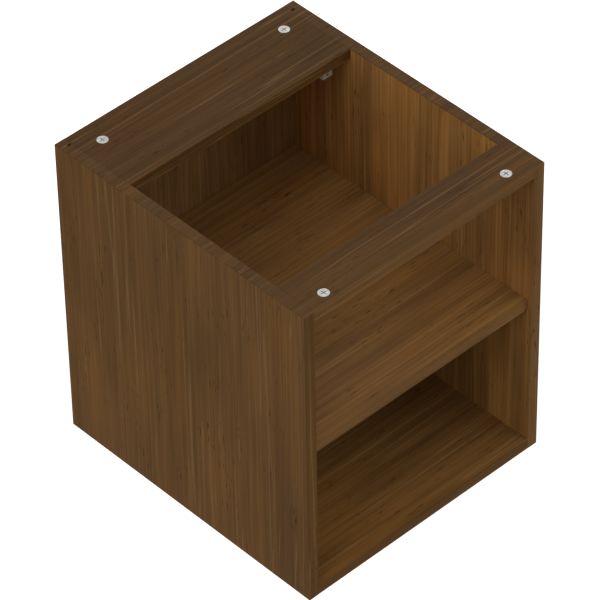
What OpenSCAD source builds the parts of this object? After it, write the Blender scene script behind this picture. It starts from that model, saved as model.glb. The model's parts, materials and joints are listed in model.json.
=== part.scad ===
// Open cube storage unit. A frameless carcass of wood-decor board: two side panels, a bottom,
// a front and a back top rail on cam fittings, one loose shelf on support pins, a thin back
// panel in grooves, and a pair of adjustable wall hangers tucked under the back rail.
// Millimetres. The origin is on the floor under the middle of the unit: +X is to the right,
// +Y is to the back and +Z is up. The open front faces -Y.

/* [Carcass] */
// Overall width, outside the side panels
carcass_w = 400; // [320:1:900]
// Overall depth, from the front edges to the back edges
carcass_d = 440; // [340:1:700]
// Overall height
carcass_h = 470; // [380:1:900]
// Thickness of every decor board
board_t = 16; // [15:0.5:22]
// Thickness of the edge bands
band_t = 1; // [0.5:0.1:2]

/* [Top rails] */
// Depth of the front rail
front_rail_d = 64; // [60:1:100]
// Depth of the back rail, which also covers the wall hangers
back_rail_d = 120; // [95:1:150]

/* [Back panel] */
// Thickness of the back panel
back_t = 4; // [3:0.5:6]
// Distance from the back edges to the rear face of the back panel
back_inset = 11; // [10:0.5:14]
// Depth of the grooves that hold the back panel
groove_depth = 6; // [5:0.5:8]
// Play of the back panel in its grooves, on each face and edge
groove_clear = 0.1; // [0.05:0.05:0.3]

/* [Shelf] */
// Height of the shelf's top face
shelf_top = 252; // [150:1:300]
// How far the shelf stands back from the front edges
shelf_setback = 6.5; // [2:0.5:30]
// Gap between the shelf and each side panel
shelf_end_gap = 0.5; // [0.3:0.1:1.5]
// Gap between the shelf and the back panel
shelf_back_gap = 1; // [0.5:0.5:5]
// Distance of the support pins from the shelf's front and back edges
pin_inset = 36; // [25:1:60]
// Diameter of the pins inside their holes
pin_d = 5; // [5:0.5:6]
// Diameter of the barrel that carries the shelf
pin_barrel_d = 7; // [6.5:0.5:9]
// Length of the barrel
pin_barrel_l = 9; // [7:0.5:12]
// Length of the pin inside its hole
pin_l = 9; // [7:0.5:10]

/* [Cam fittings] */
// Diameter of the bore that a cam turns in
cam_bore_d = 15; // [14.5:0.5:20]
// Running clearance between a cam and its bore, on the radius
cam_clear = 0.08; // [0.02:0.01:0.1]
// How far a cam's face lies below the board
cam_recess = 0.2; // [0.1:0.1:0.6]
// Distance from a board's end to the cam axis
cam_reach = 32; // [30:1:36]
// Distance of the front cams from the front edge
front_cam_inset = 18; // [16:1:24]
// Distance of the back cams from the back edge
back_cam_inset = 34; // [30:1:40]
// Diameter of the cam bolt's thread in the side panel
bolt_thread_d = 5; // [4:0.5:6]
// Depth of the thread in the side panel
bolt_thread_l = 11; // [9:0.5:12]
// Diameter of the cam bolt's shank
bolt_shank_d = 6; // [5.5:0.5:7]
// Diameter of the bolt's neck, which the cam's jaws close over
bolt_neck_d = 4.6; // [4:0.2:5]
// Diameter of the bolt's round head
bolt_head_d = 7.4; // [7:0.2:7.6]
// Diameter of the hole in the board's end that the shank lies in
bolt_hole_d = 8; // [7.5:0.5:9]

/* [Dowels] */
// Diameter of the beech dowels
dowel_d = 8; // [6:1:8]
// Length of the dowels
dowel_l = 30; // [25:1:35]
// Length of a dowel inside the side panel
dowel_in_side = 10; // [8:0.5:11]
// Distance from a cam to the dowel beside it in the front rail
front_dowel_step = 32; // [25:1:34]
// Distance from a cam to the dowel beside it in the back rail
back_dowel_step = 64; // [32:32:64]

/* [Wall hangers] */
// Width of a hanger housing, out from the side panel
hanger_w = 16; // [16:0.5:20]
// Length of a hanger housing, from front to back
hanger_l = 71; // [70:1:76]
// Height of a hanger housing
hanger_h = 45; // [45:1:52]
// Wall of the housing
hanger_wall = 1.5; // [1.2:0.1:2]
// Gap between the housing and the boards it doesn't touch
hanger_gap = 0.5; // [0.3:0.1:1]
// Sliding clearance of the hanger's moving pieces
slide_clear = 0.1; // [0.05:0.05:0.2]
// Thickness of the steel hook
hook_t = 6; // [5:0.5:7]
// Height of the hook's arm
hook_arm_h = 12; // [11:0.5:13]
// How far the hook's tooth reaches below its arm
hook_tooth_drop = 8; // [5:0.5:9]
// Thickness of the hook's tooth, from front to back
hook_tooth_t = 3.5; // [3:0.5:4]
// Gap between the back panel and the hook's tooth, for the lip of the wall rail
hook_gap = 5; // [4.5:0.1:5.5]
// Furthest that the hook moves up or down
height_travel = 5; // [3:0.5:5]
// Furthest that the hook moves in from its middle setting
depth_travel_in = 4; // [2:0.5:4]
// Diameter of the depth screw
depth_screw_d = 4; // [3.5:0.5:4]
// Diameter of the depth screw's head
depth_head_d = 7; // [6:0.5:7]
// Diameter of the height screw
height_screw_d = 4.4; // [4:0.2:4.6]
// Height of the height screw's axis above the housing's underside
height_screw_z = 4.8; // [4.5:0.1:5]
// Diameter of the screws that fix the housing
fixing_screw_d = 3.5; // [3:0.5:4]
// Diameter of their countersunk heads
fixing_head_d = 7; // [6:0.5:7.5]
// Depth of those screws in the side panel
fixing_in_side = 11; // [9:0.5:12]

/* [Hidden] */
$fn = 64;

LEFT = -1;
RIGHT = 1;
cut = 0.5; // how far a cutting shape runs past the face that it opens

decor = "#5A4128";
band_colour = "#6B4F31";
zinc = "#C6C5BF";
steel = "#9C9A94";
beech = "#D2B184";
grey_plastic = "#8F887E";

// Carcass
inner_x = carcass_w / 2 - board_t;
front_y = -carcass_d / 2;
back_y = carcass_d / 2;
rail_z = carcass_h - board_t;
front_rail_back_y = front_y + front_rail_d;
back_rail_front_y = back_y - back_rail_d;

// Back panel
back_rear_y = back_y - back_inset;
back_front_y = back_rear_y - back_t;

// Shelf and its pins
shelf_front_y = front_y + shelf_setback;
shelf_back_y = back_front_y - shelf_back_gap;
shelf_x = inner_x - shelf_end_gap;
shelf_z = shelf_top - board_t;
pin_z = shelf_z - pin_barrel_d / 2;
pin_front_y = shelf_front_y + pin_inset;
pin_back_y = shelf_back_y - pin_inset;
pin_end_gap = 0.5; // left at the bottom of each blind hole

// Cam fittings
front_cam_y = front_y + front_cam_inset;
back_cam_y = back_y - back_cam_inset;
cam_r = cam_bore_d / 2 - cam_clear;
bolt_depth = board_t / 2; // of the bolt's axis below the face that the cam is set in
chamber_h = bolt_head_d + 1;
chamber_r = bolt_head_d / 2 + 1.5;
chamber_shift = 0.45; // off the cam's axis, so that turning the cam draws the head in
cam_lip = 1.1; // floor of the cam below its chamber
cam_h = bolt_depth - cam_recess + chamber_h / 2 + cam_lip;
cam_bore_depth = cam_recess + cam_h + 0.5;
head_offset = 1; // of the bolt's head from the cam's axis, towards the side panel
jaw_h = bolt_neck_d + 0.6;
jaw_lead = 36; // degrees that the jaws' slot runs on past the neck at each end of the turn
cam_turn = 180;
recess_l = 8;
recess_w = 1.3;
recess_depth = 1.6;
neck_start = cam_reach - cam_r - 0.6;

// Dowels
front_dowel_y = front_cam_y + front_dowel_step;
back_dowel_y = back_cam_y - back_dowel_step;
dowel_end_gap = 1;

// Wall hangers, in a frame where U runs out from the side panel's inner face
hanger_back_y = back_front_y - hanger_gap;
hanger_front_y = hanger_back_y - hanger_l;
hanger_top_z = rail_z - hanger_gap;
hanger_z = hanger_top_z - hanger_h;
hanger_u = hanger_w / 2;
cavity_z = hanger_z + hanger_wall;
cavity_top_z = hanger_top_z - hanger_wall;
height_axis_z = hanger_z + height_screw_z;
carriage_l = 20;
carriage_h = 20;
carriage_y = hanger_front_y + 16.5;
carriage_wall = 3; // front wall that holds the depth screw
carriage_z = height_axis_z + height_screw_d / 2 + 0.5 + height_travel;
arm_axis_z = carriage_z + carriage_h / 2;
screw_collar_t = 1.5;
hook_front_y = carriage_y + carriage_wall + screw_collar_t + depth_travel_in + 0.5;
tooth_y = back_rear_y + hook_gap;
hook_bore_l = 30;
screw_clear = 0.06; // running clearance of both hanger screws, on the radius
screw_end_y = hook_front_y + 24;
screw_collar_d = 5.6;
depth_head_t = 3;
front_rib_y = carriage_y - slide_clear - hanger_wall;
back_rib_y = carriage_y + carriage_l + slide_clear;
rib_slot_end_y = back_rib_y + hanger_wall + cut;
rib_slot_w = depth_head_d + 0.6;
rib_slot_play = 0.5; // above and below the hook's arm at the ends of its travel
sleeve_d = fixing_head_d + 1.5;
sleeve_edge = 4.5; // from the housing's roof or floor to a fixing screw's axis

// ---- shared shapes ----

// A rectangular block between two corners
module block(low, high) {
    translate(low)
        cube(high - low);
}

// A round bar along X, from x0 to x1
module bar_x(x0, x1, y, z, d) {
    translate([x0, y, z])
        rotate([0, 90, 0])
            cylinder(d = d, h = x1 - x0);
}

// A round bar along Y, from y0 to y1
module bar_y(y0, y1, x, z, d) {
    translate([x, y0, z])
        rotate([-90, 0, 0])
            cylinder(d = d, h = y1 - y0);
}

// Puts a shape drawn for the right side of the unit on either side
module on_side(side) {
    mirror([side == LEFT ? 1 : 0, 0, 0])
        children();
}

// The groove that holds the back panel in the side panels, the bottom and the back rail
module back_groove() {
    reach = inner_x + groove_depth;
    block([-reach, back_front_y - groove_clear, board_t - groove_depth],
          [reach, back_rear_y + groove_clear, rail_z + groove_depth]);
}

// The same groove run out through the ends of a side panel
module side_groove() {
    block([inner_x - cut, back_front_y - groove_clear, -cut],
          [inner_x + groove_depth, back_rear_y + groove_clear, carcass_h + cut]);
}

// ---- cam fittings ----

// A cam's bore and the bolt's hole, for a board whose end is cam_reach along +X
module cam_bore() {
    translate([0, 0, -cam_bore_depth])
        cylinder(d = cam_bore_d, h = cam_bore_depth + cut);
    bar_x(0, cam_reach + cut, 0, -bolt_depth, bolt_hole_d);
}

// A die-cast cam in its locked position, with its face up and the bolt coming from +X
module cam() {
    color(zinc)
    difference() {
        translate([0, 0, -cam_recess - cam_h])
            cylinder(r = cam_r, h = cam_h);
        // chamber for the bolt's head
        translate([-chamber_shift, 0, -bolt_depth - chamber_h / 2])
            cylinder(r = chamber_r, h = chamber_h);
        // slot between the jaws, open all the way that the neck travels round the cam
        rotate([0, 0, -cam_turn - jaw_lead])
            rotate_extrude(angle = cam_turn + 2 * jaw_lead)
                translate([1, -bolt_depth - jaw_h / 2])
                    square([cam_r + cut, jaw_h]);
        // mouth that lets the head in while the cam is open
        bar_x(-cam_r - cut, 0, 0, -bolt_depth, bolt_head_d + 0.6);
        // cross recess for the screwdriver, one arm longer to point at the mouth
        for (turn = [0, 90])
            rotate([0, 0, turn])
                translate([-recess_l / 2, -recess_w / 2, -cam_recess - recess_depth])
                    cube([recess_l, recess_w, recess_depth + cut]);
        translate([-cam_r + 1, -recess_w / 4, -cam_recess - recess_depth / 2])
            cube([cam_r, recess_w / 2, recess_depth + cut]);
    }
}

// Puts a cam or its bore in a top rail
module in_top(side, y) {
    translate([side * (inner_x - cam_reach), y, carcass_h])
        rotate([0, 0, side == LEFT ? 180 : 0])
            children();
}

// Puts a cam or its bore in the underside of the bottom panel
module in_bottom(side, y) {
    translate([side * (inner_x - cam_reach), y, 0])
        rotate([0, 0, side == LEFT ? 180 : 0])
            rotate([180, 0, 0])
                children();
}

module top_cam(side, y) { in_top(side, y) cam(); }

module bottom_cam(side, y) { in_bottom(side, y) cam(); }

// One cam bolt: thread, collar, shank, neck and a round head with bevelled ends
module cam_bolt(y, z) {
    collar_t = 1.5;
    head_x = inner_x - cam_reach + head_offset;
    head_r = bolt_head_d / 2;
    bar_x(inner_x, inner_x + bolt_thread_l, y, z, bolt_thread_d);
    bar_x(inner_x - collar_t, inner_x, y, z, bolt_hole_d - 0.2);
    bar_x(inner_x - neck_start, inner_x - collar_t, y, z, bolt_shank_d);
    bar_x(head_x, inner_x - neck_start, y, z, bolt_neck_d);
    translate([head_x, y, z])
        rotate([0, 90, 0])
            rotate_extrude()
                polygon([
                    [0, -0.8 * head_r], [0.6 * head_r, -0.8 * head_r],
                    [0.95 * head_r, -0.3 * head_r], [0.95 * head_r, 0.3 * head_r],
                    [0.6 * head_r, 0.8 * head_r], [0, 0.8 * head_r]
                ]);
}

module cam_bolts(side) {
    color(steel)
    on_side(side)
        for (y = [front_cam_y, back_cam_y])
            for (z = [bolt_depth, carcass_h - bolt_depth])
                union()
                    cam_bolt(y, z);
}

module bolt_holes() {
    for (y = [front_cam_y, back_cam_y])
        for (z = [bolt_depth, carcass_h - bolt_depth])
            bar_x(inner_x - cut, inner_x + bolt_thread_l + pin_end_gap, y, z, bolt_thread_d);
}

// ---- dowels ----

// Every dowel of one side, as [y, z]: two in the rails and three in the bottom
dowel_places = [
    [front_dowel_y, carcass_h - bolt_depth],
    [back_dowel_y, carcass_h - bolt_depth],
    [front_dowel_y, bolt_depth],
    [(front_dowel_y + back_dowel_y) / 2, bolt_depth],
    [back_dowel_y, bolt_depth]
];

module dowels(side) {
    color(beech)
    on_side(side)
        for (p = dowel_places)
            bar_x(inner_x + dowel_in_side - dowel_l, inner_x + dowel_in_side, p.x, p.y, dowel_d);
}

module dowel_holes() {
    for (p = dowel_places)
        bar_x(inner_x + dowel_in_side - dowel_l - dowel_end_gap, inner_x + dowel_in_side + dowel_end_gap,
              p.x, p.y, dowel_d);
}

// ---- boards and bands ----

module side_panel(side) {
    color(decor)
    on_side(side)
        difference() {
            block([inner_x, front_y + band_t, band_t],
                  [carcass_w / 2, back_y - band_t, carcass_h - band_t]);
            side_groove();
            bolt_holes();
            dowel_holes();
            pin_holes();
            fixing_holes();
        }
}

module side_front_band(side) {
    color(band_colour)
    on_side(side)
        block([inner_x, front_y, 0], [carcass_w / 2, front_y + band_t, carcass_h]);
}

module side_back_band(side) {
    color(band_colour)
    on_side(side)
        block([inner_x, back_y - band_t, 0], [carcass_w / 2, back_y, carcass_h]);
}

// The groove runs out through the bands on the top and bottom edges
module side_end_band(side, z) {
    color(band_colour)
    on_side(side)
        difference() {
            block([inner_x, front_y + band_t, z], [carcass_w / 2, back_y - band_t, z + band_t]);
            side_groove();
        }
}

module bottom_panel() {
    color(decor)
    difference() {
        block([-inner_x, front_y + band_t, 0], [inner_x, back_y - band_t, board_t]);
        back_groove();
        for (side = [LEFT, RIGHT]) {
            in_bottom(side, front_cam_y)
                cam_bore();
            in_bottom(side, back_cam_y)
                cam_bore();
            on_side(side)
                dowel_holes();
        }
    }
}

module front_top_rail() {
    color(decor)
    difference() {
        block([-inner_x, front_y + band_t, rail_z], [inner_x, front_rail_back_y - band_t, carcass_h]);
        for (side = [LEFT, RIGHT]) {
            in_top(side, front_cam_y)
                cam_bore();
            on_side(side)
                dowel_holes();
        }
    }
}

module back_top_rail() {
    color(decor)
    difference() {
        block([-inner_x, back_rail_front_y + band_t, rail_z], [inner_x, back_y - band_t, carcass_h]);
        back_groove();
        for (side = [LEFT, RIGHT]) {
            in_top(side, back_cam_y)
                cam_bore();
            on_side(side)
                dowel_holes();
        }
    }
}

// A band across the unit, on the front or back edge of a level board
module level_band(y, z) {
    color(band_colour)
        block([-inner_x, y, z], [inner_x, y + band_t, z + board_t]);
}

module shelf() {
    color(decor)
        block([-shelf_x, shelf_front_y + band_t, shelf_z], [shelf_x, shelf_back_y, shelf_top]);
}

module shelf_front_band() {
    color(band_colour)
        block([-shelf_x, shelf_front_y, shelf_z], [shelf_x, shelf_front_y + band_t, shelf_top]);
}

module back_panel() {
    reach = inner_x + groove_depth - groove_clear;
    color(decor)
    difference() {
        block([-reach, back_front_y, board_t - groove_depth + groove_clear],
              [reach, back_rear_y, rail_z + groove_depth - groove_clear]);
        for (side = [LEFT, RIGHT])
            on_side(side)
                hook_window();
    }
}

// ---- shelf pins ----

module shelf_pin(side, y) {
    color(zinc)
    on_side(side)
        union() {
            bar_x(inner_x, inner_x + pin_l, y, pin_z, pin_d);
            bar_x(inner_x - pin_barrel_l, inner_x, y, pin_z, pin_barrel_d);
        }
}

module pin_holes() {
    for (y = [pin_front_y, pin_back_y])
        bar_x(inner_x - cut, inner_x + pin_l + pin_end_gap, y, pin_z, pin_d);
}

// ---- wall hangers ----

// Places of a housing's fixing screws, as [y, z]: one high in front, one high and one low behind
fixing_places = [
    [hanger_front_y + 7, cavity_top_z - sleeve_edge],
    [hanger_back_y - 9, cavity_top_z - sleeve_edge],
    [hanger_back_y - 9, cavity_z + sleeve_edge]
];

module hanger_housing(side) {
    u_in = inner_x - hanger_w + hanger_wall;
    u_out = inner_x - hanger_wall;
    color(grey_plastic)
    on_side(side)
        difference() {
            union() {
                difference() {
                    block([inner_x - hanger_w, hanger_front_y, hanger_z],
                          [inner_x, hanger_back_y, hanger_top_z]);
                    block([u_in, hanger_front_y + hanger_wall, cavity_z],
                          [u_out, hanger_back_y + cut, cavity_top_z]);
                }
                // ribs in front of and behind the carriage
                for (y = [front_rib_y, back_rib_y])
                    block([u_in, y, cavity_z], [u_out, y + hanger_wall, cavity_top_z]);
                // sleeves round the fixing screws
                for (p = fixing_places)
                    bar_x(inner_x - hanger_w, inner_x, p.x, p.y, sleeve_d);
            }
            // slot in the front wall and the ribs for the depth screw and the hook to rise and fall in
            block([inner_x - hanger_u - rib_slot_w / 2, hanger_front_y - cut,
                   arm_axis_z - hook_arm_h / 2 - height_travel - rib_slot_play],
                  [inner_x - hanger_u + rib_slot_w / 2, rib_slot_end_y,
                   arm_axis_z + hook_arm_h / 2 + height_travel + rib_slot_play]);
            // bearing of the height screw, through the front wall and both ribs
            bar_y(hanger_front_y - cut, rib_slot_end_y, inner_x - hanger_u, height_axis_z,
                  height_screw_d + 2 * screw_clear);
            for (p = fixing_places) {
                bar_x(inner_x - hanger_w - cut, inner_x + cut, p.x, p.y, fixing_screw_d);
                countersink(p);
            }
        }
}

// The seat of a fixing screw's head
module countersink(p) {
    translate([inner_x - hanger_w, p.x, p.y])
        rotate([0, 90, 0])
            cylinder(d1 = fixing_head_d, d2 = fixing_screw_d, h = (fixing_head_d - fixing_screw_d) / 2);
}

module hanger_fixing_screws(side) {
    cross_l = 2.6;
    color(steel)
    on_side(side)
        for (p = fixing_places)
            difference() {
                union() {
                    countersink(p);
                    bar_x(inner_x - hanger_w + 0.1, inner_x + fixing_in_side, p.x, p.y, fixing_screw_d);
                }
                for (turn = [0, 90])
                    translate([inner_x - hanger_w, p.x, p.y])
                        rotate([turn, 0, 0])
                            translate([-cut, -cross_l / 2, -0.4])
                                cube([cut + 1.2, cross_l, 0.8]);
            }
}

module fixing_holes() {
    for (p = fixing_places)
        bar_x(inner_x - cut, inner_x + fixing_in_side + pin_end_gap, p.x, p.y, fixing_screw_d);
}

// Carriage that rises and falls inside the housing and carries the hook
module hanger_carriage(side) {
    u_in = inner_x - hanger_w + hanger_wall + slide_clear;
    u_out = inner_x - hanger_wall - slide_clear;
    axis_u = inner_x - hanger_u;
    slot_half_t = hook_t / 2 + slide_clear;
    slot_half_h = hook_arm_h / 2 + slide_clear;
    color(steel)
    on_side(side)
        difference() {
            block([u_in, carriage_y, carriage_z], [u_out, carriage_y + carriage_l, carriage_z + carriage_h]);
            // slot that the hook slides in
            block([axis_u - slot_half_t, carriage_y + carriage_wall, arm_axis_z - slot_half_h],
                  [axis_u + slot_half_t, carriage_y + carriage_l + cut, arm_axis_z + slot_half_h]);
            // bearing of the depth screw
            bar_y(carriage_y - cut, carriage_y + carriage_wall + cut, axis_u, arm_axis_z,
                  depth_screw_d + 2 * screw_clear);
        }
}

// Steel hook: an arm through the back panel, with a tooth behind that drops over the wall rail
module hanger_hook(side) {
    u_in = inner_x - hanger_u - hook_t / 2;
    u_out = inner_x - hanger_u + hook_t / 2;
    tooth_back_y = tooth_y + hook_tooth_t;
    arm_bottom_z = arm_axis_z - hook_arm_h / 2;
    color(steel)
    on_side(side)
        difference() {
            union() {
                block([u_in, hook_front_y, arm_bottom_z], [u_out, tooth_back_y, arm_bottom_z + hook_arm_h]);
                block([u_in, tooth_y, arm_bottom_z - hook_tooth_drop], [u_out, tooth_back_y, arm_axis_z]);
            }
            bar_y(hook_front_y - cut, hook_front_y + hook_bore_l, inner_x - hanger_u, arm_axis_z,
                  depth_screw_d + 2 * screw_clear);
        }
}

// Opening in the back panel that the hook reaches through
module hook_window() {
    play = 1;
    block([inner_x - hanger_u - hook_t / 2 - play, back_front_y - cut,
           arm_axis_z - hook_arm_h / 2 - hook_tooth_drop - play],
          [inner_x - hanger_u + hook_t / 2 + play, back_rear_y + cut,
           arm_axis_z + hook_arm_h / 2 + height_travel + play]);
}

// Cross recess in the head of a hanger screw that faces the front
module screw_recess(y, z, l) {
    for (turn = [0, 90])
        translate([inner_x - hanger_u, y, z])
            rotate([0, turn, 0])
                translate([-l / 2, -cut, -0.45])
                    cube([l, cut + 1.5, 0.9]);
}

// Depth screw: held by its head and collar in the carriage's front wall, threaded in the hook
module hanger_depth_screw(side) {
    u = inner_x - hanger_u;
    head_y = carriage_y - slide_clear - depth_head_t;
    collar_y = carriage_y + carriage_wall + slide_clear;
    color(zinc)
    on_side(side)
        difference() {
            union() {
                bar_y(head_y, head_y + depth_head_t, u, arm_axis_z, depth_head_d);
                bar_y(head_y, screw_end_y, u, arm_axis_z, depth_screw_d);
                bar_y(collar_y, collar_y + screw_collar_t - slide_clear, u, arm_axis_z, screw_collar_d);
            }
            screw_recess(head_y, arm_axis_z, 4.6);
        }
}

// Height screw: turns in the front wall, under the carriage
module hanger_height_screw(side) {
    screw_y = hanger_front_y + 0.3;
    color(zinc)
    on_side(side)
        difference() {
            bar_y(screw_y, back_rib_y + hanger_wall + 2, inner_x - hanger_u, height_axis_z, height_screw_d);
            screw_recess(screw_y, height_axis_z, 3.2);
        }
}

// ---- the pieces ----

side_panel(LEFT);  // left_side_panel
side_panel(RIGHT);  // right_side_panel
bottom_panel();
back_panel();
shelf();
front_top_rail();
back_top_rail();

side_front_band(LEFT);  // left_side_front_band
side_end_band(LEFT, carcass_h - band_t);  // left_side_top_band
side_back_band(LEFT);  // left_side_back_band
side_end_band(LEFT, 0);  // left_side_bottom_band
side_front_band(RIGHT);  // right_side_front_band
side_end_band(RIGHT, carcass_h - band_t);  // right_side_top_band
side_back_band(RIGHT);  // right_side_back_band
side_end_band(RIGHT, 0);  // right_side_bottom_band
level_band(front_y, 0);  // bottom_front_band
level_band(back_y - band_t, 0);  // bottom_back_band
shelf_front_band();
level_band(front_y, rail_z);  // front_rail_front_band
level_band(front_rail_back_y - band_t, rail_z);  // front_rail_back_band
level_band(back_rail_front_y, rail_z);  // back_rail_front_band
level_band(back_y - band_t, rail_z);  // back_rail_back_band

top_cam(LEFT, front_cam_y);  // top_cam_front_left
top_cam(RIGHT, front_cam_y);  // top_cam_front_right
top_cam(LEFT, back_cam_y);  // top_cam_back_left
top_cam(RIGHT, back_cam_y);  // top_cam_back_right
bottom_cam(LEFT, front_cam_y);  // bottom_cam_front_left
bottom_cam(RIGHT, front_cam_y);  // bottom_cam_front_right
bottom_cam(LEFT, back_cam_y);  // bottom_cam_back_left
bottom_cam(RIGHT, back_cam_y);  // bottom_cam_back_right

cam_bolts(LEFT);  // left_cam_bolts
cam_bolts(RIGHT);  // right_cam_bolts
dowels(LEFT);  // left_dowels
dowels(RIGHT);  // right_dowels

shelf_pin(LEFT, pin_front_y);  // shelf_pin_front_left
shelf_pin(RIGHT, pin_front_y);  // shelf_pin_front_right
shelf_pin(LEFT, pin_back_y);  // shelf_pin_back_left
shelf_pin(RIGHT, pin_back_y);  // shelf_pin_back_right

hanger_housing(LEFT);  // left_hanger_housing
hanger_carriage(LEFT);  // left_hanger_carriage
hanger_hook(LEFT);  // left_hanger_hook
hanger_depth_screw(LEFT);  // left_hanger_depth_screw
hanger_height_screw(LEFT);  // left_hanger_height_screw
hanger_fixing_screws(LEFT);  // left_hanger_fixing_screws
hanger_housing(RIGHT);  // right_hanger_housing
hanger_carriage(RIGHT);  // right_hanger_carriage
hanger_hook(RIGHT);  // right_hanger_hook
hanger_depth_screw(RIGHT);  // right_hanger_depth_screw
hanger_height_screw(RIGHT);  // right_hanger_height_screw
hanger_fixing_screws(RIGHT);  // right_hanger_fixing_screws
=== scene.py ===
"""Cube storage unit: an open carcass of walnut-decor boards with one loose shelf.

The script follows the unit as it is put together: the studio it stands in, the boards, their
edge bands, the cam fittings, the dowels, the shelf pins and the wall hangers.
"""

import json
import math

import bpy
from mathutils import Matrix, Vector

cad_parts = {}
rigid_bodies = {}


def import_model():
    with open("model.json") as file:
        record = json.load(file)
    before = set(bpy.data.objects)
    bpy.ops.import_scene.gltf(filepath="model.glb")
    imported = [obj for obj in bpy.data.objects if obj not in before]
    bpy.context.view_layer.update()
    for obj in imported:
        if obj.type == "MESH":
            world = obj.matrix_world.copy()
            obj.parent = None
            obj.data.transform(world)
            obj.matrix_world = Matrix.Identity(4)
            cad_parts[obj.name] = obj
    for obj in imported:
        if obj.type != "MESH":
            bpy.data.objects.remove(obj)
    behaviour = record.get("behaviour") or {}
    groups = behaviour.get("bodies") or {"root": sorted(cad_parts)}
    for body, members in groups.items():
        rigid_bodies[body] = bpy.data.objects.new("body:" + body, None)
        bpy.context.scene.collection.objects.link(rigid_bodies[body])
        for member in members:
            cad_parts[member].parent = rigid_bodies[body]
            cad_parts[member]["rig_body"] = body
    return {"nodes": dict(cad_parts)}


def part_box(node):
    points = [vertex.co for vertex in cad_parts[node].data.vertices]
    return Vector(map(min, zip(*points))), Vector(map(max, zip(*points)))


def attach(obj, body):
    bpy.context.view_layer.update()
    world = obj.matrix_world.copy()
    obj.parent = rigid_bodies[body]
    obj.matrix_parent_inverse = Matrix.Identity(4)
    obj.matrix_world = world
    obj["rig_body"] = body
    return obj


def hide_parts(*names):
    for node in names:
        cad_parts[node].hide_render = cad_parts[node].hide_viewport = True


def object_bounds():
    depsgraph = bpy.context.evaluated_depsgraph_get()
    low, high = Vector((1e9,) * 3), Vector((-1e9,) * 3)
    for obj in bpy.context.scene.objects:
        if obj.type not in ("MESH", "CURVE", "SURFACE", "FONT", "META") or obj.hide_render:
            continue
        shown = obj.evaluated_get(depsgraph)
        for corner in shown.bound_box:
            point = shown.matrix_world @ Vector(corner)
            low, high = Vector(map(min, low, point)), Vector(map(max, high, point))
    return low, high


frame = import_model()
nodes = frame["nodes"]
cad_low, cad_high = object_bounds()


# ---- studio ---------------------------------------------------------------------------------
# A pale seamless floor and a white sweep, which only the camera sees. Broad soft lights stand to
# the left, in front and overhead, with weaker ones behind, so that the unit keeps its warm shade.
# The camera looks down on the front left corner of the unit from far off, through a long lens.

def linear(hex_colour):
    """The linear RGBA of an sRGB colour written as #RRGGBB."""
    channels = [int(hex_colour[i:i + 2], 16) / 255 for i in (1, 3, 5)]
    curve = [c / 12.92 if c <= 0.04045 else ((c + 0.055) / 1.055) ** 2.4 for c in channels]
    return (*curve, 1.0)


def add_node(tree, kind, inputs=(), stops=(), **settings):
    """Adds a node, sets its properties, and sets or links its inputs.

    The inputs are {name or number: value or socket}, and a colour ramp's stops are (place, colour).
    """
    made = tree.nodes.new(kind)
    for name, value in settings.items():
        setattr(made, name, value)
    for name, value in dict(inputs).items():
        if isinstance(value, bpy.types.NodeSocket):
            tree.links.new(value, made.inputs[name])
        else:
            made.inputs[name].default_value = value
    if stops:
        elements = made.color_ramp.elements
        while len(elements) < len(stops):
            elements.new(1.0)
        for element, (place, colour) in zip(elements, stops):
            element.position = place
            element.color = colour
    return made


def new_material(name):
    """A new material, its node tree and its Principled shader."""
    material = bpy.data.materials.new(name)
    material.use_nodes = True
    shader = material.node_tree.nodes["Principled BSDF"]
    return material, material.node_tree, shader


def deselect():
    """Nothing stays selected, so that an operator acts only on what is chosen next."""
    bpy.ops.object.select_all(action="DESELECT")


FLOOR_WIDTH = 30
middle = (cad_low + cad_high) / 2

deselect()
bpy.ops.mesh.primitive_plane_add(size=FLOOR_WIDTH, location=(0, 0, 0))
floor = bpy.context.object
floor.name = "studio_floor"
floor.visible_diffuse = False
floor.visible_glossy = False
floor_paint, floor_tree, floor_shader = new_material("floor_matt_paint")
floor_shader.inputs["Base Color"].default_value = linear("#F4F4F4")
floor_shader.inputs["Roughness"].default_value = 0.9
floor_shader.inputs["Emission Color"].default_value = linear("#FFFFFF")
floor_shader.inputs["Emission Strength"].default_value = 0.8
floor.data.materials.append(floor_paint)


def towards(azimuth_degrees, elevation_degrees):
    """The unit vector from the origin to a place in the studio. Azimuth 0 is the front."""
    around, up = math.radians(azimuth_degrees), math.radians(elevation_degrees)
    return Vector((math.sin(around) * math.cos(up), -math.cos(around) * math.cos(up), math.sin(up)))


scene = bpy.context.scene
scene.view_settings.view_transform = "Standard"
world = bpy.data.worlds.new("studio_soft_light")
world.use_nodes = True
sky = world.node_tree
ray = add_node(sky, "ShaderNodeTexCoord").outputs["Generated"]
strength = 0.06
# each soft light's azimuth, elevation and radius in degrees, and its strength. The last one is
# what a pale floor throws up.
for light_azimuth, light_elevation, radius, light_strength in (
    (-90, 15, 25, 1.08),
    (-90, 50, 25, 1.2),
    (-45, 15, 25, 0.3),
    (0, 38, 25, 0.48),
    (44, 22, 27, 1.25),
    (0, 72, 18, 0.3),
    (137, 42, 12, 1.2),
    (110, 5, 36, 0.75),
    (0, -90, 60, 0.24),
):
    facing = add_node(
        sky, "ShaderNodeVectorMath", {0: ray, 1: towards(light_azimuth, light_elevation)},
        operation="DOT_PRODUCT",
    ).outputs["Value"]
    glow = add_node(
        sky, "ShaderNodeMapRange",
        {
            "Value": facing,
            "From Min": math.cos(math.radians(radius * 1.25)),
            "From Max": math.cos(math.radians(radius * 0.75)),
            "To Max": light_strength,
        },
        interpolation_type="SMOOTHSTEP",
    ).outputs["Result"]
    strength = add_node(
        sky, "ShaderNodeMath", {0: strength, 1: glow}, operation="ADD"
    ).outputs["Value"]
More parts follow.
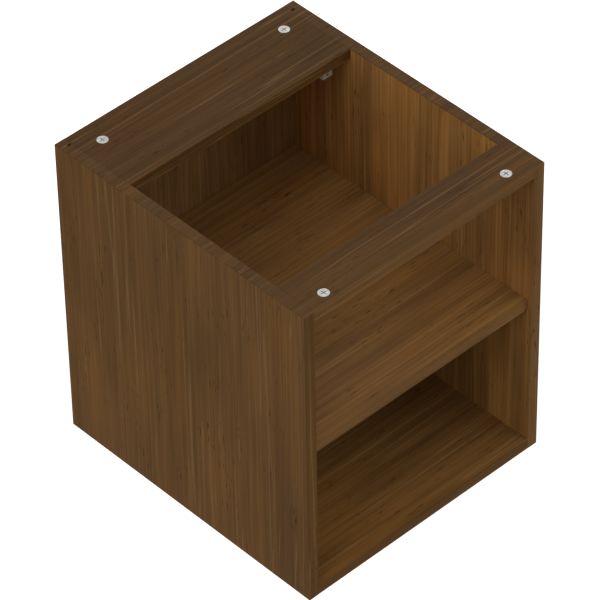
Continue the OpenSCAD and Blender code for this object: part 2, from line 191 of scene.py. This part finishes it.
seen = add_node(sky, "ShaderNodeLightPath").outputs["Is Camera Ray"]
strength = add_node(sky, "ShaderNodeMix", {0: seen, 2: strength, 3: 1.0}).outputs[0]
sky.links.new(strength, sky.nodes["Background"].inputs["Strength"])
sky.nodes["Background"].inputs["Color"].default_value = linear("#FFFFFF")
scene.world = world

CAMERA_AZIMUTH, CAMERA_ELEVATION = -42.86, 42.27
CAMERA_DISTANCE = 5.565
LENS_MM = 268.23
# where the lens points, to the left of the unit's middle and below it
AIM_LEFT, AIM_DOWN = 0.0017, 0.0036
roll = math.radians(-1.1)
back = towards(CAMERA_AZIMUTH, CAMERA_ELEVATION)
level_right = Vector((0, 0, 1)).cross(back).normalized()
level_up = back.cross(level_right)
camera_right = math.cos(roll) * level_right + math.sin(roll) * level_up
camera_up = math.cos(roll) * level_up - math.sin(roll) * level_right
look_at = middle - AIM_LEFT * camera_right - AIM_DOWN * camera_up
camera_data = bpy.data.cameras.new("camera")
camera_data.lens = LENS_MM
camera_data.clip_end = 100
camera = bpy.data.objects.new("camera", camera_data)
camera.matrix_world = Matrix.Translation(look_at + CAMERA_DISTANCE * back) @ Matrix(
    (camera_right, camera_up, back)
).transposed().to_4x4()
scene.collection.objects.link(camera)
scene.camera = camera


# ---- boards ---------------------------------------------------------------------------------
# 16 mm chipboard faced on both sides with a walnut-print paper under melamine, satin and lightly
# embossed along the grain. Where a board is sawn or drilled and no band covers it, the pale chips
# show. The grain stands upright on the sides and the back and runs across on the level boards.

MM = 0.001
MELAMINE_FILM = 0.3 * MM
GRAIN_TURN = {"X": (0, math.pi / 2, 0), "Z": (0, 0, 0)}
# a colour Mix node takes its factor at input 0 and its colours at 6 and 7, and gives output 2
MULTIPLIED = {"data_type": "RGBA", "blend_type": "MULTIPLY"}
LAID_OVER = {"data_type": "RGBA", "blend_type": "MIX"}


def grey(value):
    """A neutral linear colour."""
    return (value, value, value, 1.0)


def walnut_print(tree, grain, shade, figure):
    """The printed grain's colour with the given painted light and shade laid on, its contrast scaled by
    figure, and the height of its emboss.
    """
    place = add_node(tree, "ShaderNodeTexCoord").outputs["Object"]
    upright = add_node(
        tree, "ShaderNodeMapping", {"Vector": place, "Rotation": GRAIN_TURN[grain]}
    ).outputs["Vector"]
    # the grain wanders by a few millimetres, in waves some 70 mm across and 250 mm along
    slow = add_node(
        tree, "ShaderNodeMapping", {"Vector": upright, "Scale": (14, 14, 4)}
    ).outputs["Vector"]
    wander = add_node(
        tree, "ShaderNodeTexNoise", {"Vector": slow, "Scale": 1.0, "Detail": 2.0}
    ).outputs["Color"]
    centred = add_node(
        tree, "ShaderNodeVectorMath", {0: wander, 1: (0.5, 0.5, 0.5)}, operation="SUBTRACT"
    ).outputs["Vector"]
    shift = add_node(
        tree, "ShaderNodeVectorMath", {0: centred, 1: (6 * MM, 6 * MM, 0.0)}, operation="MULTIPLY"
    ).outputs["Vector"]
    fibre = add_node(
        tree, "ShaderNodeVectorMath", {0: upright, 1: shift}, operation="ADD"
    ).outputs["Vector"]

    def streaks(width_mm, length_mm, detail=2.0):
        """Noise drawn out along the grain, in streaks of about that width and length."""
        across = 1 / (width_mm * MM)
        along = 1 / (length_mm * MM)
        scaled = add_node(
            tree, "ShaderNodeMapping", {"Vector": fibre, "Scale": (across, across, along)}
        ).outputs["Vector"]
        return add_node(
            tree, "ShaderNodeTexNoise", {"Vector": scaled, "Scale": 1.0, "Detail": detail}
        ).outputs["Fac"]

    # the ground runs from a cooler to a warmer brown
    tone = add_node(
        tree, "ShaderNodeValToRGB", {"Fac": streaks(55, 260)},
        stops=[(0.32, linear("#7A562F")), (0.50, linear("#805A2F")), (0.68, linear("#865D2E"))],
    ).outputs["Color"]

    def figured(fac, dark, light):
        """A factor that runs from a little under one to a little over it."""
        return add_node(
            tree, "ShaderNodeValToRGB", {"Fac": fac},
            stops=[(0.32, grey(1 - dark)), (0.50, grey(1.0)), (0.68, grey(1 + light))],
        ).outputs["Color"]

    patch = figured(streaks(46, 200), 0.12 * figure, 0.13 * figure)
    band = figured(streaks(10, 420), 0.09 * figure, 0.07 * figure)
    vein = figured(streaks(3.4, 260, 3.0), 0.08 + 0.08 * figure, 0.08 + 0.08 * figure)
    hair = figured(streaks(1.5, 120), 0.07, 0.05)
    # thin pale lines that run in pairs and close at their ends
    line = add_node(
        tree, "ShaderNodeValToRGB", {"Fac": streaks(11, 1300, 1.0)},
        stops=[(0.446, grey(0.0)), (0.462, grey(1.0)), (0.480, grey(0.0))],
    ).outputs["Color"]
    # short dark pores, gathered in drifts
    drift = add_node(
        tree, "ShaderNodeValToRGB", {"Fac": streaks(26, 80, 1.0)},
        stops=[(0.46, grey(0.0)), (0.60, grey(1.0))],
    ).outputs["Color"]
    dash = add_node(
        tree, "ShaderNodeValToRGB", {"Fac": streaks(2.4, 19, 1.0)},
        stops=[(0.63, grey(0.0)), (0.72, grey(1.0))],
    ).outputs["Color"]
    pore = add_node(tree, "ShaderNodeMix", {0: 1.0, 6: dash, 7: drift}, **MULTIPLIED).outputs[2]
    # the given shade is painted light and shade, multiplied into the print with the grain's layers
    colour = tone
    for layer in (shade, patch, band, vein, hair):
        colour = add_node(tree, "ShaderNodeMix", {0: 1.0, 6: colour, 7: layer}, **MULTIPLIED).outputs[2]
    for mark, amount, stain in (
        (line, 0.34 * figure, linear("#B48F5A")),
        (pore, 0.58, linear("#35200C")),
    ):
        weight = add_node(
            tree, "ShaderNodeMix", {0: 1.0, 6: mark, 7: grey(amount)}, **MULTIPLIED
        ).outputs[2]
        colour = add_node(tree, "ShaderNodeMix", {0: weight, 6: colour, 7: stain}, **LAID_OVER).outputs[2]
    height = add_node(
        tree, "ShaderNodeMath", {0: hair, 1: pore}, operation="SUBTRACT"
    ).outputs["Value"]
    return colour, height


def chips(tree):
    """The colour of sawn chipboard: pale flakes a few millimetres long with darker gaps between."""
    place = add_node(tree, "ShaderNodeTexCoord").outputs["Object"]
    flake = add_node(
        tree, "ShaderNodeTexVoronoi", {"Vector": place, "Scale": 1 / (2.5 * MM), "Randomness": 1.0}
    )
    shade = add_node(
        tree, "ShaderNodeSeparateColor", {"Color": flake.outputs["Color"]}
    ).outputs["Red"]
    wood = add_node(
        tree, "ShaderNodeValToRGB", {"Fac": shade},
        stops=[(0.0, linear("#6E5436")), (0.5, linear("#8E704A")), (1.0, linear("#AA8C60"))],
    ).outputs["Color"]
    gap = add_node(
        tree, "ShaderNodeValToRGB", {"Fac": flake.outputs["Distance"]},
        stops=[(0.0, grey(1.0)), (0.75, grey(0.62))],
    ).outputs["Color"]
    return add_node(tree, "ShaderNodeMix", {0: 1.0, 6: wood, 7: gap}, **MULTIPLIED).outputs[2]


SATIN_GLOSS = 0.12
# the film is a thin dark line where a board is cut
FILM_EDGE = "#3B2614"
# how squarely a surface looks along an axis to count as a board's face
FACE_ON = 0.7


def board_material(name, grain, board, facing, low_face_painted_light, high_face_painted_light, figure, painted_shade_tint):
    """Walnut melamine on a board's two faces, and chips where it is cut.

    The faces look along the facing axis. The low face and the high face each get their own factor that
    makes them lighter or darker, as painted light and shade for how the light falls on each, and a tint.
    """
    low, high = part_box(board)
    axis = "XYZ".index(facing)
    material, tree, shader = new_material(name)
    coordinates = add_node(tree, "ShaderNodeTexCoord").outputs
    normal = add_node(tree, "ShaderNodeSeparateXYZ", {0: coordinates["Normal"]}).outputs[axis]
    # painted light and shade: a factor picked by the way the surface faces, then a tint for the colour of
    # its shade
    shade = add_node(
        tree, "ShaderNodeMapRange",
        {
            "Value": normal,
            "From Min": -FACE_ON,
            "From Max": FACE_ON,
            "To Min": low_face_painted_light,
            "To Max": high_face_painted_light,
        },
    ).outputs["Result"]
    painted_light_colour = add_node(tree, "ShaderNodeMix", {0: 1.0, 6: shade, 7: painted_shade_tint}, **MULTIPLIED).outputs[2]
    colour, height = walnut_print(tree, grain, painted_light_colour, figure)
    place = add_node(tree, "ShaderNodeSeparateXYZ", {0: coordinates["Object"]}).outputs[axis]
    turned = add_node(tree, "ShaderNodeMath", {0: normal}, operation="ABSOLUTE").outputs["Value"]
    flat = add_node(
        tree, "ShaderNodeMath", {0: turned, 1: FACE_ON}, operation="GREATER_THAN"
    ).outputs["Value"]
    from_middle = add_node(
        tree, "ShaderNodeMath", {0: place, 1: (low[axis] + high[axis]) / 2}, operation="SUBTRACT"
    ).outputs["Value"]
    depth = add_node(tree, "ShaderNodeMath", {0: from_middle}, operation="ABSOLUTE").outputs["Value"]
    core_half = (high[axis] - low[axis]) / 2 - MELAMINE_FILM
    film = add_node(
        tree, "ShaderNodeMath", {0: depth, 1: core_half}, operation="GREATER_THAN"
    ).outputs["Value"]
    face = add_node(tree, "ShaderNodeMath", {0: flat, 1: film}, operation="MULTIPLY").outputs["Value"]
    sawn = add_node(
        tree, "ShaderNodeMix", {0: film, 6: chips(tree), 7: linear(FILM_EDGE)}, **LAID_OVER
    ).outputs[2]
    seen_colour = add_node(
        tree, "ShaderNodeMix", {0: face, 6: sawn, 7: colour}, **LAID_OVER
    ).outputs[2]
    tree.links.new(seen_colour, shader.inputs["Base Color"])
    rough = add_node(
        tree, "ShaderNodeMapRange",
        {"Value": height, "From Min": 0.2, "From Max": 1.1, "To Min": 0.62, "To Max": 0.5},
    ).outputs["Result"]
    seen_rough = add_node(
        tree, "ShaderNodeMix", {0: face, 6: grey(0.9), 7: rough}, **LAID_OVER
    ).outputs[2]
    tree.links.new(seen_rough, shader.inputs["Roughness"])
    bump = add_node(
        tree, "ShaderNodeBump", {"Height": height, "Strength": 0.3, "Distance": 0.06 * MM}
    ).outputs["Normal"]
    tree.links.new(bump, shader.inputs["Normal"])
    shader.inputs["Specular IOR Level"].default_value = SATIN_GLOSS
    return material


def dress(name, material):
    """Gives a frame node its finish."""
    nodes[name].data.materials.clear()
    nodes[name].data.materials.append(material)


# each face is made lighter or darker, as painted light and shade for how the light falls on it, and some
# boards get a tint that stands in for the colour of their shade: the board, its grain, the axis it faces,
# its two faces' painted light factors, its figure and its painted shade tint
for name, grain, facing, low_face_painted_light, high_face_painted_light, figure, painted_shade_tint in (
    ("left_side_panel", "Z", "X", 0.9, 1.15, 0.9, (1.0, 1.0, 1.0)),
    ("right_side_panel", "Z", "X", 1.6, 0.9, 1.7, (1.0, 1.0, 1.0)),
    ("bottom_panel", "X", "Z", 0.9, 1.22, 1.4, (1.0, 1.0, 1.0)),
    ("back_panel", "Z", "Y", 1.15, 0.95, 1.3, (0.95, 1.05, 1.35)),
    ("shelf", "X", "Z", 1.0, 1.42, 1.5, (0.98, 1.02, 1.12)),
    ("front_top_rail", "X", "Z", 0.9, 0.62, 0.85, (1.0, 1.0, 1.0)),
    ("back_top_rail", "X", "Z", 0.9, 0.54, 0.8, (1.0, 1.0, 1.0)),
):
    walnut = board_material(
        "walnut_melamine_" + name, grain, name, facing, low_face_painted_light, high_face_painted_light, figure, (*painted_shade_tint, 1.0)
    )
    dress(name, walnut)


# ---- edge bands ------------------------------------------------------------------------------
# 1 mm ABS strips in the same walnut print, glued to every edge that shows and trimmed flush.
# Their long outer edges are scraped round, so they catch a thin line of light. The groove for
# the back panel runs out through the bands on the top and bottom of the side panels.

BAND_ROUNDING = 0.35 * MM
BAND_FIGURE = 0.85
GROOVE_CLEARANCE = 0.1 * MM
BANDS = [name for name in nodes if name.endswith("_band")]


def band_material(name, grain, shade, painted_shade_tint=(1.0, 1.0, 1.0)):
    """The walnut print on an edge strip, made lighter or darker and tinted as painted light and shade."""
    material, tree, shader = new_material(name)
    painted_light_colour = (*(shade * part for part in painted_shade_tint), 1.0)
    colour, height = walnut_print(tree, grain, painted_light_colour, BAND_FIGURE)
    tree.links.new(colour, shader.inputs["Base Color"])
    bump = add_node(
        tree, "ShaderNodeBump", {"Height": height, "Strength": 0.2, "Distance": 0.05 * MM}
    ).outputs["Normal"]
    tree.links.new(bump, shader.inputs["Normal"])
    rough = add_node(
        tree, "ShaderNodeMapRange",
        {"Value": height, "From Min": 0.2, "From Max": 1.1, "To Min": 0.56, "To Max": 0.44},
    ).outputs["Result"]
    tree.links.new(rough, shader.inputs["Roughness"])
    shader.inputs["Specular IOR Level"].default_value = SATIN_GLOSS
    return material


def work_on(piece):
    """Makes one object the only selected one and the active one."""
    deselect()
    piece.select_set(True)
    bpy.context.view_layer.objects.active = piece


def add_block(name, low, high):
    """A block between two corners, its object at the origin."""
    deselect()
    bpy.ops.mesh.primitive_cube_add(size=1, location=(low + high) / 2)
    block = bpy.context.object
    block.name = name
    block.scale = high - low
    bpy.ops.object.transform_apply(location=True, rotation=True, scale=True)
    return block


def select_edges(piece, wanted):
    """Enters edit mode with the edges selected whose two ends pass a test."""
    work_on(piece)
    bpy.ops.object.mode_set(mode="EDIT")
    bpy.ops.mesh.select_mode(type="EDGE")
    bpy.ops.mesh.select_all(action="DESELECT")
    bpy.ops.object.mode_set(mode="OBJECT")
    for edge in piece.data.edges:
        ends = [piece.data.vertices[v].co for v in edge.vertices]
        edge.select = wanted(*ends)
    bpy.ops.object.mode_set(mode="EDIT")


def bevel_selected(width, segments):
    """Rounds the selected edges and leaves edit mode."""
    bpy.ops.mesh.bevel(
        offset=width, offset_type="OFFSET", segments=segments, profile=0.5, affect="EDGES"
    )
    bpy.ops.object.mode_set(mode="OBJECT")


def cut_away(piece, cutter):
    """Takes a cutter's volume out of a piece, and then removes the cutter."""
    taken = piece.modifiers.new("cut", "BOOLEAN")
    taken.object = cutter
    taken.solver = "EXACT"
    work_on(piece)
    bpy.ops.object.modifier_apply(modifier=taken.name)
    bpy.data.objects.remove(cutter)


def middle_of(node):
    """The middle of a frame node's box."""
    node_low, node_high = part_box(node)
    return (node_low + node_high) / 2


body_of = {name: nodes[name]["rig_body"] for name in nodes}


def put_on(piece, node, material):
    """Finishes a piece: it takes the place of a frame node and rides on that node's body."""
    piece.data.materials.clear()
    piece.data.materials.append(material)
    work_on(piece)
    bpy.ops.object.shade_smooth_by_angle(angle=math.radians(30))
    flatten = piece.modifiers.new("flatten", "WEIGHTED_NORMAL")
    flatten.keep_sharp = True
    bpy.ops.object.modifier_apply(modifier=flatten.name)
    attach(piece, body_of[node])
    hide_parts(node)


# painted light and shade: each group of bands is made lighter or darker, and some are tinted, in place of
# how the light falls on them
band_walnut = {
    "upright": band_material("walnut_abs_upright", "Z", 0.86),
    "level": band_material("walnut_abs_level", "X", 0.62),
    "back_rail": band_material("walnut_abs_back_rail", "X", 0.5),
    "front_rail": band_material("walnut_abs_front_rail", "X", 0.92),
    "shelf": band_material("walnut_abs_shelf", "X", 1.15),
    "left_side_front_band": band_material("walnut_abs_left_front", "Z", 0.74, (1.0, 0.97, 0.8)),
    "right_side_front_band": band_material("walnut_abs_right_front", "Z", 1.08),
    "bottom_front_band": band_material("walnut_abs_bottom_front", "X", 0.7, (1.0, 0.97, 0.8)),
}
groove_low, groove_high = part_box("back_panel")
groove_clear = Vector((GROOVE_CLEARANCE, GROOVE_CLEARANCE, 0))

for node in BANDS:
    low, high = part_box(node)
    size = high - low
    thin = min(range(3), key=lambda axis: size[axis])
    long = max(range(3), key=lambda axis: size[axis])
    # a band's outer face looks away from the middle of the unit, or of its rail
    board = node.rsplit("_", 2)[0]
    inside = middle_of(board.replace("_rail", "_top_rail")) if "rail" in board else middle
    outer = high[thin] if middle_of(node)[thin] > inside[thin] else low[thin]
    band = add_block(node + "_trimmed", low, high)

    def long_outer(a, b):
        """True of an edge that runs the length of the band along its outer face."""
        runs_long = abs(a[long] - b[long]) > size[long] / 2
        return runs_long and all(abs(end[thin] - outer) < MELAMINE_FILM for end in (a, b))

    select_edges(band, long_outer)
    bevel_selected(BAND_ROUNDING, segments=3)
    if "_side_top_" in node or "_side_bottom_" in node:
        cutter_low = groove_low - groove_clear
        cutter_high = groove_high + groove_clear
        cutter_low.z, cutter_high.z = low.z - MM, high.z + MM
        cut_away(band, add_block("groove_cutter", cutter_low, cutter_high))
    if node in band_walnut:
        kind = node
    elif long == 2:
        kind = "upright"
    else:
        kind = board if board in band_walnut else "level"
    put_on(band, node, band_walnut[kind])


# ---- cam fittings ----------------------------------------------------------------------------
# Die-cast zinc drums, 15 mm across, from two-part moulds: a pale, dull and slightly grainy skin,
# edges left round by the mould, and a cross recess whose longer arm points at the bolt's mouth.

SHARP_DEGREES = 32


def finished_copy(node, name, rounding):
    """A new object from a frame node's mesh, merged to one skin, with its sharp edges rounded."""
    piece = bpy.data.objects.new(name, nodes[node].data.copy())
    scene.collection.objects.link(piece)
    work_on(piece)
    bpy.ops.object.mode_set(mode="EDIT")
    bpy.ops.mesh.select_mode(type="EDGE")
    bpy.ops.mesh.select_all(action="SELECT")
    bpy.ops.mesh.remove_doubles(threshold=0.002 * MM)
    bpy.ops.mesh.dissolve_limited(angle_limit=math.radians(0.5))
    bpy.ops.mesh.select_all(action="DESELECT")
    bpy.ops.mesh.edges_select_sharp(sharpness=math.radians(SHARP_DEGREES))
    bpy.ops.mesh.bevel(
        offset=rounding, offset_type="OFFSET", segments=2, profile=0.5, affect="EDGES",
        clamp_overlap=True, harden_normals=False,
    )
    bpy.ops.object.mode_set(mode="OBJECT")
    return piece


# the real skins are finer than these grains, which are drawn as coarse as they need to show
def metal(name, colour, roughness, grain_mm, depth_mm):
    """A bare or plated metal, its skin of that grain and depth, its roughness varied in clouds."""
    material, tree, shader = new_material(name)
    place = add_node(tree, "ShaderNodeTexCoord").outputs["Object"]
    grain = add_node(
        tree, "ShaderNodeTexNoise", {"Vector": place, "Scale": 1 / (grain_mm * MM), "Detail": 3.0}
    ).outputs["Fac"]
    cloud = add_node(
        tree, "ShaderNodeTexNoise", {"Vector": place, "Scale": 1 / (6 * grain_mm * MM), "Detail": 2.0}
    ).outputs["Fac"]
    tarnish = add_node(
        tree, "ShaderNodeValToRGB", {"Fac": cloud}, stops=[(0.3, grey(0.94)), (0.7, grey(1.0))]
    ).outputs["Color"]
    skin = add_node(
        tree, "ShaderNodeMix", {0: 1.0, 6: linear(colour), 7: tarnish}, **MULTIPLIED
    ).outputs[2]
    tree.links.new(skin, shader.inputs["Base Color"])
    rough = add_node(
        tree, "ShaderNodeMapRange",
        {
            "Value": cloud,
            "From Min": 0.3,
            "From Max": 0.7,
            "To Min": roughness + 0.06,
            "To Max": roughness - 0.06,
        },
    ).outputs["Result"]
    tree.links.new(rough, shader.inputs["Roughness"])
    bump = add_node(
        tree, "ShaderNodeBump", {"Height": grain, "Strength": 0.5, "Distance": depth_mm * MM}
    ).outputs["Normal"]
    tree.links.new(bump, shader.inputs["Normal"])
    shader.inputs["Metallic"].default_value = 1.0
    return material


cast_zinc = metal("die_cast_zinc_skin", "#E2E1DC", 0.40, 0.5, 0.03)
for node in [name for name in nodes if "_cam_" in name and not name.endswith("_bolts")]:
    put_on(finished_copy(node, node + "_cast", 0.18 * MM), node, cast_zinc)


# ---- cam bolts --------------------------------------------------------------------------------
# Cold-headed steel pins, zinc plated to a bluish satin. The coarse thread at one end is screwed
# into the side panel up to the collar; the ball-like head at the other end is caught by its cam.

SIDES = {"left": -1, "right": 1}
# the length over which a shank narrows to a thread's root
THREAD_RUN_OUT = 0.3 * MM
# the cams stand 18 mm from the front edge and 34 mm from the back edge, in line with their bolts
BOLT_ROWS = (cad_low.y + 18 * MM, cad_high.y - 34 * MM)
BOLT_HEIGHTS = (middle_of("bottom_panel").z, middle_of("front_top_rail").z)
# a screw's thread starts just inside the side panel's face and ends just short of its tip
panel_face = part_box("right_side_panel")[0].x
SCREWED_IN = (panel_face + 0.2 * MM, panel_face + 10.6 * MM)


def select_shank(piece, axis, centre, start, end, radius):
    """Enters edit mode with the part selected that lies between two places and near an axis."""
    low_end, high_end = sorted((start, end))
    work_on(piece)
    bpy.ops.object.mode_set(mode="EDIT")
    bpy.ops.mesh.select_mode(type="VERT")
    bpy.ops.mesh.select_all(action="DESELECT")
    bpy.ops.object.mode_set(mode="OBJECT")
    for vertex in piece.data.vertices:
        away = vertex.co - centre
        away[axis] = 0
        vertex.select = low_end < vertex.co[axis] < high_end and away.length < radius
    bpy.ops.object.mode_set(mode="EDIT")


def cut_thread(piece, axis, centre, start, end, crest, root, pitch):
    """Turns a shank down to the thread's root from start to end, and winds the ridge round it."""
    forward = 1 if end > start else -1
    step = THREAD_RUN_OUT * forward
    normal = Vector((0, 0, 0))
    normal[axis] = 1
    for place in (start, start + step, end - step, end):
        work_on(piece)
        bpy.ops.object.mode_set(mode="EDIT")
        bpy.ops.mesh.select_all(action="SELECT")
        bpy.ops.mesh.bisect(plane_co=normal * place, plane_no=normal)
        bpy.ops.object.mode_set(mode="OBJECT")
    select_shank(piece, axis, centre, start + step / 2, end - step / 2, crest * 1.05)
    shrink = [root / crest] * 3
    shrink[axis] = 1
    bpy.ops.transform.resize(value=shrink, center_override=centre)
    bpy.ops.object.mode_set(mode="OBJECT")

    # the ridge's section is a square's outline, drawn out to a blunt wedge with its foot sunk in
    # the root. It is wound up the Z axis and then laid along the screw.
    deselect()
    bpy.ops.mesh.primitive_plane_add(size=pitch, location=(0, 0, 0), calc_uvs=False)
    ridge = bpy.context.object
    bpy.ops.object.mode_set(mode="EDIT")
    bpy.ops.mesh.delete(type="ONLY_FACE")
    bpy.ops.object.mode_set(mode="OBJECT")
    foot = 0.94 * root
    wedge = ((foot, 0.08), (crest, 0.36), (foot, 0.76), (crest, 0.48))
    for corner, (radius, rise) in zip(ridge.data.vertices, wedge):
        corner.co = (radius, 0, rise * pitch)
    # as many whole turns as fit, less the ridge's own height
    sweep = ridge.modifiers.new("sweep", "SCREW")
    sweep.steps = 20
    sweep.screw_offset = pitch
    sweep.iterations = int((abs(end - start) - 2 * abs(step)) / pitch - 0.8)
    bpy.ops.object.modifier_apply(modifier=sweep.name)
    bpy.ops.object.mode_set(mode="EDIT")
    bpy.ops.mesh.select_mode(type="EDGE")
    bpy.ops.mesh.select_all(action="DESELECT")
    bpy.ops.mesh.select_non_manifold(extend=False)
    bpy.ops.mesh.edge_face_add()
    bpy.ops.mesh.select_all(action="SELECT")
    bpy.ops.mesh.normals_make_consistent(inside=False)
    bpy.ops.object.mode_set(mode="OBJECT")
    origin = Vector(centre)
    origin[axis] = start + step
    turn = (normal * forward).to_track_quat("Z", "Y").to_matrix().to_4x4()
    ridge.matrix_world = Matrix.Translation(origin) @ turn
    bpy.ops.object.transform_apply(location=True, rotation=True, scale=True)
    ridge.select_set(True)
    piece.select_set(True)
    bpy.context.view_layer.objects.active = piece
    bpy.ops.object.join()


bolt_steel = metal("zinc_plated_bolt_steel", "#C4C6C6", 0.34, 0.35, 0.012)
for side, sign in SIDES.items():
    node = side + "_cam_bolts"
    bolts = finished_copy(node, node + "_headed", 0.15 * MM)
    for y in BOLT_ROWS:
        for z in BOLT_HEIGHTS:
            cut_thread(
                bolts, 0, Vector((0, y, z)), *(sign * place for place in SCREWED_IN),
                crest=2.5 * MM, root=2.0 * MM, pitch=2 * MM,
            )
    put_on(bolts, node, bolt_steel)


# ---- dowels -----------------------------------------------------------------------------------
# Turned beech pegs, 8 by 30 mm, pale and pinkish with short darker flecks, their ends chamfered.
# They sit unglued in the rails and in the bottom panel, so the unit can be taken apart again.

beech, beech_tree, beech_shader = new_material("beech_turned")
beech_place = add_node(beech_tree, "ShaderNodeTexCoord").outputs["Object"]
FLECK_LENGTH, FLECK_WIDTH = 9 * MM, 0.7 * MM
beech_fibre = add_node(
    beech_tree, "ShaderNodeMapping",
    {"Vector": beech_place, "Scale": (1 / FLECK_LENGTH, 1 / FLECK_WIDTH, 1 / FLECK_WIDTH)},
).outputs["Vector"]
beech_fleck = add_node(
    beech_tree, "ShaderNodeTexNoise", {"Vector": beech_fibre, "Scale": 1.0, "Detail": 3.0}
).outputs["Fac"]
beech_colour = add_node(
    beech_tree, "ShaderNodeValToRGB", {"Fac": beech_fleck},
    stops=[(0.32, linear("#B98F5F")), (0.5, linear("#D2B184")), (0.7, linear("#DDC094"))],
).outputs["Color"]
beech_tree.links.new(beech_colour, beech_shader.inputs["Base Color"])
beech_bump = add_node(
    beech_tree, "ShaderNodeBump", {"Height": beech_fleck, "Strength": 0.5, "Distance": 0.15 * MM}
).outputs["Normal"]
beech_tree.links.new(beech_bump, beech_shader.inputs["Normal"])
beech_shader.inputs["Roughness"].default_value = 0.72
for side in SIDES:
    node = side + "_dowels"
    put_on(finished_copy(node, node + "_turned", 0.6 * MM), node, beech)


# ---- shelf pins -------------------------------------------------------------------------------
# Turned steel pegs, nickel plated and bright, pushed into 5 mm holes in the side panels. The thick
# barrel stops against the panel and carries the shelf.

nickel = metal("nickel_plated_pin", "#CFCBC2", 0.24, 0.6, 0.006)
for node in [name for name in nodes if "shelf_pin" in name]:
    put_on(finished_copy(node, node + "_plated", 0.4 * MM), node, nickel)


# ---- wall hangers -----------------------------------------------------------------------------
# A hanger in each upper back corner, in a pale grey moulded ABS housing with a fine spark texture.
# A pressed steel carriage slides in it, a hook slides in the carriage, and two screws set them.

# the real spark texture is near 0.1 mm, and is drawn four times as coarse so that it shows
abs_grey, abs_tree, abs_shader = new_material("grey_abs_moulded")
abs_place = add_node(abs_tree, "ShaderNodeTexCoord").outputs["Object"]
abs_grain = add_node(
    abs_tree, "ShaderNodeTexNoise", {"Vector": abs_place, "Scale": 1 / (0.4 * MM), "Detail": 2.0}
).outputs["Fac"]
abs_colour = add_node(
    abs_tree, "ShaderNodeValToRGB", {"Fac": abs_grain},
    stops=[(0.3, linear("#DDD9D2")), (0.7, linear("#EBE8E2"))],
).outputs["Color"]
abs_tree.links.new(abs_colour, abs_shader.inputs["Base Color"])
abs_bump = add_node(
    abs_tree, "ShaderNodeBump", {"Height": abs_grain, "Strength": 0.4, "Distance": 0.05 * MM}
).outputs["Normal"]
abs_tree.links.new(abs_bump, abs_shader.inputs["Normal"])
abs_shader.inputs["Roughness"].default_value = 0.58

SCREW_ROUNDING = 0.12 * MM
SETTING_PITCH = 1.25 * MM
# y and z of the three screws that fix a housing to its side panel
FIXING_PLACES = ((140.5 * MM, 447.5 * MM), (195.5 * MM, 447.5 * MM), (195.5 * MM, 414.5 * MM))

pressed_steel = metal("zinc_plated_pressed_steel", "#BDBFBE", 0.38, 0.7, 0.01)
screw_steel = metal("zinc_plated_screw_steel", "#C4C6C6", 0.34, 0.35, 0.012)
for side, sign in SIDES.items():
    for part, material, slot, rounding in (
        ("housing", abs_grey, "grey_plastic", 0.3 * MM),
        ("carriage", pressed_steel, "zinc_plated_steel", 0.25 * MM),
        ("hook", pressed_steel, "zinc_plated_steel", 0.4 * MM),
    ):
        node = side + "_hanger_" + part
        put_on(finished_copy(node, node + "_made", rounding), node, material)
    # each setting screw has a plain neck by its head and a plain tip
    for part, neck, tip, crest, root in (
        ("depth_screw", 8.6 * MM, 0.5 * MM, 2.0 * MM, 1.55 * MM),
        ("height_screw", 3.2 * MM, 4.6 * MM, 2.2 * MM, 1.75 * MM),
    ):
        node = side + "_hanger_" + part
        screw = finished_copy(node, node + "_made", SCREW_ROUNDING)
        low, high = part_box(node)
        centre = Vector((middle_of(side + "_hanger_hook").x, 0, middle_of(node).z))
        cut_thread(screw, 1, centre, low.y + neck, high.y - tip, crest, root, SETTING_PITCH)
        put_on(screw, node, screw_steel)
    node = side + "_hanger_fixing_screws"
    screws = finished_copy(node, node + "_made", SCREW_ROUNDING)
    for y, z in FIXING_PLACES:
        cut_thread(
            screws, 0, Vector((0, y, z)), *(sign * place for place in SCREWED_IN),
            crest=1.75 * MM, root=1.3 * MM, pitch=1.4 * MM,
        )
    put_on(screws, node, screw_steel)
